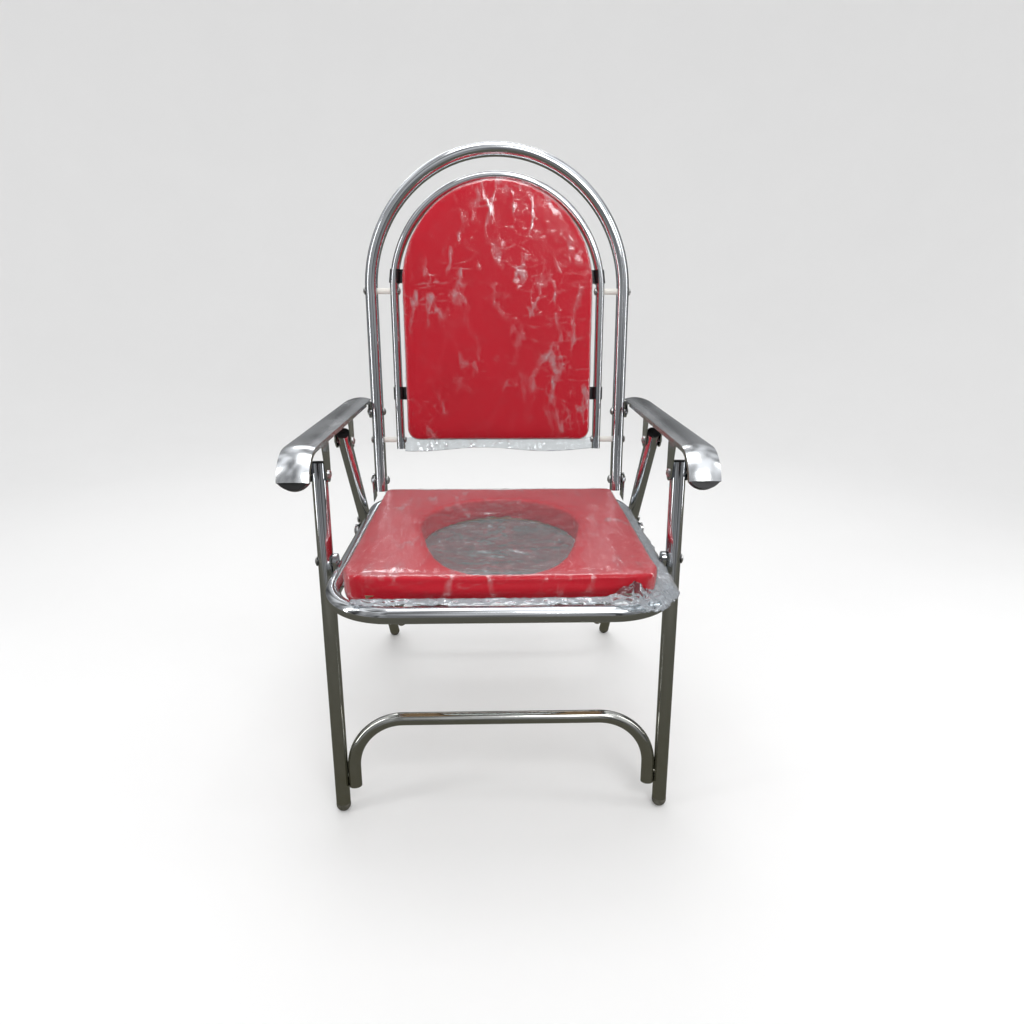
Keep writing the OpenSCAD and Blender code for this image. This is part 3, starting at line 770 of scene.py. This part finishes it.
def film_finish(name, mirrored, creases, fine_creases, tint):
    """Thin clear plastic that mirrors a little everywhere and turns milky along its creases.

    mirrored is how much of a thick sheet's mirroring so thin a film shows, and tint is what is
    left of the light that goes straight through.
    """
    material, shader = start_finish(name, (0.93, 0.94, 0.96), metallic=0.7, roughness=0.11)
    slanted = stretched_coordinates(material, (1.0, 0.34, 0.5), (0.3, 0.2, 0.5))
    across = stretched_coordinates(material, (0.4, 1.0, 0.9), (0.1, -0.4, -0.3))
    folds = ridges(material, slanted, 24, 5, 0.55)
    small_folds = ridges(material, across, 58, 4, 0.5)
    sparse = speckle(material, stretched_coordinates(material), 11, 3)
    coarse = relief(material, folds, 0.5, 0.0011)
    crinkled = relief(material, small_folds, 0.4, 0.0004, coarse)
    wire(material, shader, "Normal", crinkled)
    fresnel = add(material, "ShaderNodeFresnel", None, IOR=1.45, Normal=crinkled)
    mirror = add(material, "ShaderNodeMath", {"operation": "MULTIPLY"})
    wire(material, mirror, "0", fresnel.outputs["Fac"])
    wire(material, mirror, "1", mirrored)
    where = ramp(material, sparse, ((0.42, 0.03), (0.72, 1.0)))
    milk = mirror.outputs[0]
    for pattern, most in ((folds, creases), (small_folds, fine_creases)):
        lines = add(material, "ShaderNodeMapRange", None, Value=pattern)
        wire(material, lines, "From Min", CREASE_START)
        wire(material, lines, "From Max", CREASE_TOP)
        wire(material, lines, "To Max", most)
        placed = add(material, "ShaderNodeMath", {"operation": "MULTIPLY"})
        wire(material, placed, "0", lines.outputs["Result"])
        wire(material, placed, "1", where)
        summed = add(material, "ShaderNodeMath", {"operation": "ADD", "use_clamp": True})
        wire(material, summed, "0", milk)
        wire(material, summed, "1", placed.outputs[0])
        milk = summed.outputs[0]
    clear = add(material, "ShaderNodeBsdfTransparent", None, Color=(*tint, 1))
    film = add(material, "ShaderNodeMixShader")
    wire(material, film, "0", milk)
    wire(material, film, "1", clear.outputs[0])
    wire(material, film, "2", shader.outputs[0])
    output = material.node_tree.nodes["Material Output"]
    wire(material, output, "Surface", film.outputs[0])
    return material


clear_film = film_finish("clear_film", 0.2, 0.36, 0.22, (0.97, 0.97, 0.97))
loose_film = film_finish("loose_clear_film", 0.9, 0.9, 0.8, (0.84, 0.86, 0.87))
# Painted shade: the dark grey tint of the lower layer stands for the shade under the seat.
under_film_painted_shade = film_finish("underside_film_painted_shade", 0.6, 0.9, 0.6, (0.44, 0.455, 0.455))

# %% Film shapes
FILM_SQUARE = 3.2 * MM
FILM_WALL = 0.25 * MM
FILM_GAP = 0.7 * MM  # between the cover and the film's lowest crinkle


def crinkle(point, rate, stretch, seed):
    """Sharp folds with soft valleys, in 0 to 1."""
    spot = Vector((point.x * stretch[0], point.y * stretch[1], point.z * stretch[2])) * rate
    spot += Vector((seed, seed * 0.37, -seed))
    return 1 - min(1.0, abs(noise.noise(spot)) * 2.6)


def hull_of(mesh, name):
    """A film shaped body: the convex hull of a mesh in even squares."""
    bm = bmesh.new()
    bm.from_mesh(mesh)
    hull = bmesh.ops.convex_hull(bm, input=bm.verts)
    loose = {item for key in ("geom_interior", "geom_unused", "geom_holes") for item in hull[key]}
    bmesh.ops.delete(bm, geom=[v for v in loose if isinstance(v, bmesh.types.BMVert)],
                     context="VERTS")
    kept = set(item for item in hull["geom"] if isinstance(item, bmesh.types.BMFace))
    bmesh.ops.delete(bm, geom=[face for face in bm.faces if face not in kept], context="FACES")
    bmesh.ops.recalc_face_normals(bm, faces=bm.faces)
    body = as_object(bm, name)
    rebuild(body, FILM_SQUARE)
    soften(body, 2, 0.5)
    return body


def push_out(body, height_of):
    """Moves each point along its normal by a height worked out from its place."""
    normals = [vertex.normal.copy() for vertex in body.data.vertices]
    for vertex, normal in zip(body.data.vertices, normals):
        vertex.co += normal * height_of(vertex.co, normal)


def open_below(body, floor):
    """Cuts away the film's underside, which is folded under the board and not seen."""
    bm = bmesh.new()
    bm.from_mesh(body.data)
    bmesh.ops.bisect_plane(bm, geom=bm.verts[:] + bm.edges[:] + bm.faces[:], dist=1e-6,
                           plane_co=(0, 0, floor), plane_no=(0, 0, -1), clear_outer=True)
    bm.to_mesh(body.data)
    bm.free()


def thin_wall(body):
    """Gives the film its thickness."""
    wall = body.modifiers.new("wall", "SOLIDIFY")
    wall.thickness = FILM_WALL
    wall.offset = 0
    return bake_modifiers(body)


def finish_film(body, finish, body_name):
    """Finish and body of a film piece."""
    body.data.materials.clear()
    body.data.materials.append(finish)
    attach(body, body_name)


def inside_egg(point):
    """1 in the middle of the opening and 0 at its edge and outside."""
    angle = math.atan2((point.y - EGG_MIDDLE_Y) / EGG_REAR, point.x / EGG_HALF_WIDTH)
    reach = EGG_REAR if point.y > EGG_MIDDLE_Y else EGG_FRONT
    span = math.hypot(point.x / EGG_HALF_WIDTH, (point.y - EGG_MIDDLE_Y) / reach)
    if span >= 1:
        return 0.0
    return (1 - span ** 2) ** 0.8 * (0.85 + 0.15 * math.cos(3 * angle))


def seat_film_height(point, normal):
    """Crinkles of the seat's film, larger over the opening, which also sags."""
    hole = inside_egg(point) if normal.z > 0.5 else 0.0
    wave = crinkle(point, 26, (0.5, 1.25, 1), 4.0) * 0.6
    wave += crinkle(point, 62, (1.1, 0.6, 1), 9.0) * 0.4
    height = FILM_GAP + wave ** 3 * (0.9 + 3.4 * min(1, 2 * hole)) * MM
    return height - hole * 9 * MM


def back_film_height(point, normal):
    """Crinkles of the back's film: long slanting ones with finer ones between."""
    slanted = Vector((point.x + 0.45 * point.y, point.y - 0.3 * point.x, point.z))
    long_folds = crinkle(slanted, 21, (1.5, 0.32, 1), 2.0)
    wave = long_folds * 0.6 + crinkle(point, 58, (0.8, 0.9, 1), 6.0) * 0.4
    return FILM_GAP + wave ** 3 * 1.0 * MM


def wrap(mesh, name, height_of, floor):
    """The wrapping of one cushion."""
    body = hull_of(mesh, name)
    push_out(body, height_of)
    open_below(body, floor)
    return thin_wall(body)


seat_film = wrap(flat_seat, "seat_film", seat_film_height, seat_low.z + 1.2 * MM)
finish_film(seat_film, clear_film, "seat")
back_film = wrap(flat_back, "back_film", back_film_height, BACK_REAR + 0.6 * MM)
place(back_film, BACK_FRAME)
finish_film(back_film, clear_film, "backrest")

# %% [markdown]
# ## Loose film at the edges
# The wrapping is longer than the cushions. On the right it lies over the rail and ends in a
# crumpled ear at the front corner, a thin line of it shows along the front rail, and a short tail
# hangs below the back. Each is a grid whose points follow a path, with the film's own crinkles.
# The wrapping goes all round the seat, so its lower layer shows through the opening. Its dark grey
# tint is painted shade, standing for the shade under the seat.

# %% Loose film
RAIL_X, RAIL_FRONT_Y, RAIL_Z = 225 * MM, -339.2 * MM, 388 * MM
RAIL_CORNER, RAIL_RADIUS = 85 * MM, 11 * MM
CORNER_X, CORNER_Y = RAIL_X - RAIL_CORNER, RAIL_FRONT_Y + RAIL_CORNER
FLAP_REAR_Y, FLAP_LEFT_X = 90 * MM, -188 * MM
SIDE_RUN = FLAP_REAR_Y - CORNER_Y
CORNER_RUN = RAIL_CORNER * math.pi / 2
FLAP_LENGTH = SIDE_RUN + CORNER_RUN + CORNER_X - FLAP_LEFT_X


def rail_path(run):
    """Point over the rail's centre and the outward direction, a run from the rear right."""
    if run < SIDE_RUN:
        return RAIL_X, FLAP_REAR_Y - run, 1.0, 0.0
    if run < SIDE_RUN + CORNER_RUN:
        turn = (run - SIDE_RUN) / RAIL_CORNER
        out_x, out_y = math.cos(turn), -math.sin(turn)
        return CORNER_X + RAIL_CORNER * out_x, CORNER_Y + RAIL_CORNER * out_y, out_x, out_y
    return CORNER_X - (run - SIDE_RUN - CORNER_RUN), RAIL_FRONT_Y, 0.0, -1.0


def along_stops(share, stops):
    """Straight steps between (share, value) stops."""
    for (start, first), (end, last) in zip(stops, stops[1:]):
        if share <= end:
            return first + (last - first) * (share - start) / (end - start)
    return stops[-1][1]


def strip(name, long_steps, wide_steps, shape):
    """A grid whose points are put in place by shape(along, across), both from 0 to 1."""
    bm = bmesh.new()
    bmesh.ops.create_grid(bm, x_segments=long_steps, y_segments=wide_steps, size=0.5)
    for vertex in bm.verts:
        vertex.co = shape(vertex.co.x + 0.5, vertex.co.y + 0.5)
    bmesh.ops.remove_doubles(bm, verts=bm.verts, dist=1e-5)
    return thin_wall(as_object(bm, name))


def flap_shape(along, across):
    """The film over the right rail, the crumpled corner and the line along the front."""
    run = along * FLAP_LENGTH
    x, y, out_x, out_y = rail_path(run)
    corner = near(run - SIDE_RUN - 0.62 * CORNER_RUN, 75 * MM)
    front = near(min(0.0, run - SIDE_RUN - 0.75 * CORNER_RUN), 60 * MM)
    front *= 1 - corner
    reach = 12.5 * MM * (1 - front) - 1.5 * MM * front + corner * 9 * MM
    reach += edge_wave(run, 2.5 * MM + 5 * MM * corner, 60, 2.2)
    out = along_stops(across, ((0, -20.5 * MM), (0.3, -14 * MM), (0.55, -4 * MM), (1, reach)))
    inner_z = 420 * MM * (1 - front) + 400.5 * MM * front
    height = along_stops(across, ((0, inner_z), (0.3, 404 * MM), (0.55, 401 * MM),
                                  (0.8, 400.2 * MM - 2 * MM * (1 - front)),
                                  (1, 400 * MM - 8 * MM * (1 - front))))
    spot = Vector((x + out * out_x, y + out * out_y, height))
    fold = crinkle(spot, 95, (1, 1, 1), 3.0) + 0.6 * crinkle(spot, 190, (1, 1, 1), 8.0)
    spot.z += (fold - 0.5) * (0.9 + 3.6 * corner) * MM
    spot.x += out_x * edge_wave(run, 1.2 * MM + 2.5 * MM * corner, 140, 6.0) * across
    spot.y += out_y * edge_wave(run, 1.2 * MM + 2.5 * MM * corner, 140, 9.0) * across
    if abs(out) < RAIL_RADIUS:
        rail_top = RAIL_Z + math.sqrt(RAIL_RADIUS ** 2 - out ** 2) + 0.4 * MM
        spot.z = max(spot.z, rail_top)
    return spot


def tail_shape(along, across):
    """The short tail of film below the back cushion, built flat."""
    x = (along - 0.5) * 342 * MM
    drop = 25 * MM * across * (0.86 + 0.14 * math.sin(along * 9 + 1))
    spot = Vector((x, BACK_BOTTOM + 4 * MM - drop, 14 * MM + 5 * MM * across))
    fold = crinkle(spot, 80, (1.2, 0.35, 1), 5.0) + 0.5 * crinkle(spot, 170, (1, 0.5, 1), 1.0)
    spot.z += (fold - 0.6) * (0.8 + 2.2 * across) * MM
    return spot


UNDERSIDE_EDGE = 9 * MM  # how far the lower layer reaches past the opening, under the board


def underside_shape(along, across):
    """The wrapping's lower layer below the opening: across goes from its middle to its edge."""
    x, y = egg_point(2 * math.pi * along, UNDERSIDE_EDGE)
    spot = Vector((x, y - EGG_MIDDLE_Y, 0)) * across
    spot += Vector((0, EGG_MIDDLE_Y, board_low.z - 0.8 * MM))
    slanted = Vector((spot.x - 0.35 * spot.y, spot.y + 0.35 * spot.x, 0))
    fold = crinkle(slanted, 20, (0.5, 1.7, 1), 5.5) ** 2
    fold += 0.4 * crinkle(slanted, 55, (0.5, 1.3, 1), 1.5) ** 2
    spot.z -= (1 - across ** 4) * (5 * MM - 4 * MM * fold) + (1 - across ** 2) * 5 * MM
    return spot


rail_flap = strip("rail_film", 300, 22, flap_shape)
finish_film(rail_flap, loose_film, "seat")
back_tail = place(strip("back_film_tail", 150, 12, tail_shape), BACK_FRAME)
finish_film(back_tail, loose_film, "backrest")
underside = strip("seat_film_underside", 160, 30, underside_shape)
finish_film(underside, under_film_painted_shade, "seat")

# %% [markdown]
# ## Floor, backdrop and lights
# A pale floor sweeps up into a pale backdrop all round, as in a studio. The chrome needs dark
# things to mirror or it would vanish, so the backdrop doesn't show in reflections, and the world
# around it is a dim room with a bright ceiling. Large soft lamps give the long bright streaks.

# %% Floor and backdrop
def pale_finish(name, colour):
    """Pale painted floor with a barely visible mottle."""
    material, shader = start_finish(name, colour, roughness=0.85)
    mottle = speckle(material, stretched_coordinates(material), 3, 3)
    wire(material, shader, "Base Color",
         ramp(material, mottle, ((0.2, tuple(c * 0.985 for c in colour)), (0.8, colour))))
    shader.inputs["Specular IOR Level"].default_value = 0.1
    return material


FLOOR_RADIUS = 2.6
SWEEP_RADIUS = 2.4
pale = pale_finish("pale_floor", (0.86, 0.86, 0.86))
floor_bm = bmesh.new()
bmesh.ops.create_circle(floor_bm, cap_ends=True, radius=FLOOR_RADIUS, segments=96)
floor = as_object(floor_bm, "floor", smooth=False)
floor.data.materials.append(pale)

sweep_bm = bmesh.new()
steps = 20
last = sweep_bm.verts.new((FLOOR_RADIUS - 0.01, 0, 0))
for step in range(1, steps + 1):
    angle = math.radians(90) * step / steps
    point = sweep_bm.verts.new((FLOOR_RADIUS + SWEEP_RADIUS * math.sin(angle), 0,
                                SWEEP_RADIUS * (1 - math.cos(angle))))
    sweep_bm.edges.new((last, point))
    last = point
top_of_wall = sweep_bm.verts.new((FLOOR_RADIUS + SWEEP_RADIUS, 0, 6))
sweep_bm.edges.new((last, top_of_wall))
bmesh.ops.spin(sweep_bm, geom=sweep_bm.verts[:] + sweep_bm.edges[:], cent=(0, 0, 0),
               axis=(0, 0, 1), angle=2 * math.pi, steps=96, use_merge=True)
bmesh.ops.recalc_face_normals(sweep_bm, faces=sweep_bm.faces)
backdrop = as_object(sweep_bm, "backdrop")
backdrop.data.materials.append(pale)
backdrop.visible_glossy = False
backdrop.visible_shadow = False
floor.visible_glossy = False

# What the chrome mirrors below it: a dull olive ground, which only reflections see.
mirrored_bm = bmesh.new()
bmesh.ops.create_circle(mirrored_bm, cap_ends=True, radius=6, segments=48)
bmesh.ops.translate(mirrored_bm, vec=(0, 0, -1 * MM), verts=mirrored_bm.verts)
mirrored_floor = as_object(mirrored_bm, "mirrored_floor", smooth=False)
mirrored_floor.data.materials.append(pale_finish("olive_ground", (0.155, 0.150, 0.120)))
mirrored_floor.visible_camera = False
mirrored_floor.visible_diffuse = False
mirrored_floor.visible_shadow = False
mirrored_floor.visible_transmission = False

# %% [markdown]
# ## The room around the chair
# The world gives even soft light. Only reflections see a room in it: dark low down, bright at the
# ceiling, with uneven upright patches that stand for walls and furniture.

# %% World
world = bpy.data.worlds.new("studio_room")
scene.world = world
world.use_nodes = True
tree = world.node_tree
soft_light = tree.nodes["Background"]
soft_light.inputs["Color"].default_value = (1, 1, 1, 1)
soft_light.inputs["Strength"].default_value = 0.82
room_light = tree.nodes.new("ShaderNodeBackground")
direction = tree.nodes.new("ShaderNodeTexCoord")
split = tree.nodes.new("ShaderNodeSeparateXYZ")
room = tree.nodes.new("ShaderNodeValToRGB")
around = tree.nodes.new("ShaderNodeMapping")
around.inputs["Scale"].default_value = (2.3, 2.3, 0.25)
furniture = tree.nodes.new("ShaderNodeTexNoise")
furniture.inputs["Scale"].default_value = 1.6
furniture.inputs["Detail"].default_value = 1.5
contrast = tree.nodes.new("ShaderNodeMapRange")
contrast.inputs["From Min"].default_value = 0.38
contrast.inputs["From Max"].default_value = 0.62
contrast.inputs["To Min"].default_value = 0.25
contrast.inputs["To Max"].default_value = 1.7
ray = tree.nodes.new("ShaderNodeLightPath")
either = tree.nodes.new("ShaderNodeMixShader")
for source, target in (
        (direction.outputs["Generated"], split.inputs["Vector"]),
        (split.outputs["Z"], room.inputs["Fac"]),
        (direction.outputs["Generated"], around.inputs["Vector"]),
        (around.outputs["Vector"], furniture.inputs["Vector"]),
        (furniture.outputs["Fac"], contrast.inputs["Value"]),
        (room.outputs["Color"], room_light.inputs["Color"]),
        (contrast.outputs["Result"], room_light.inputs["Strength"]),
        (ray.outputs["Is Glossy Ray"], either.inputs["Fac"]),
        (soft_light.outputs["Background"], either.inputs[1]),
        (room_light.outputs["Background"], either.inputs[2]),
        (either.outputs["Shader"], tree.nodes["World Output"].inputs["Surface"])):
    tree.links.new(source, target)
ROOM_STOPS = ((0.0, 0.20), (0.12, 0.15), (0.30, 0.22), (0.55, 0.48), (0.85, 0.75))
while len(room.color_ramp.elements) < len(ROOM_STOPS):
    room.color_ramp.elements.new(0.5)
for element, (height, grey) in zip(room.color_ramp.elements, ROOM_STOPS):
    element.position = height
    element.color = (grey * 0.98, grey, grey * 1.03, 1)

# %% [markdown]
# ## Lamps
# A large key lamp stands in front, two upright strips at the sides draw the long streaks on the
# tubes, and a rear and a top lamp lift the edges.

# %% Lamps
LOOK_AT = Vector((0, 0, 0.5))


def lamp(name, spot, size, power, shade=(1, 1, 1)):
    """A rectangular soft lamp that faces the chair."""
    data = bpy.data.lights.new(name, "AREA")
    data.shape = "RECTANGLE"
    data.size, data.size_y = size
    data.energy = power
    data.color = shade
    obj = bpy.data.objects.new(name, data)
    obj.location = spot
    obj.rotation_euler = (LOOK_AT - Vector(spot)).to_track_quat("-Z", "Y").to_euler()
    scene.collection.objects.link(obj)
    return obj


lamp("key_lamp", (0.7, -1.9, 2.3), (1.1, 0.9), 17)
lamp("left_strip", (-1.9, -0.7, 1.2), (0.22, 2.0), 7)
lamp("right_strip", (1.9, -0.3, 1.2), (0.22, 2.0), 6)
lamp("rear_lamp", (-0.3, 2.1, 2.1), (1.8, 0.5), 10)
lamp("top_lamp", (0, 0.1, 2.7), (1.2, 1.2), 12)

# %% [markdown]
# ## Colour handling
# Plain colour handling keeps the red saturated.

# %% Colour handling
scene.view_settings.view_transform = "Standard"
scene.view_settings.look = "None"
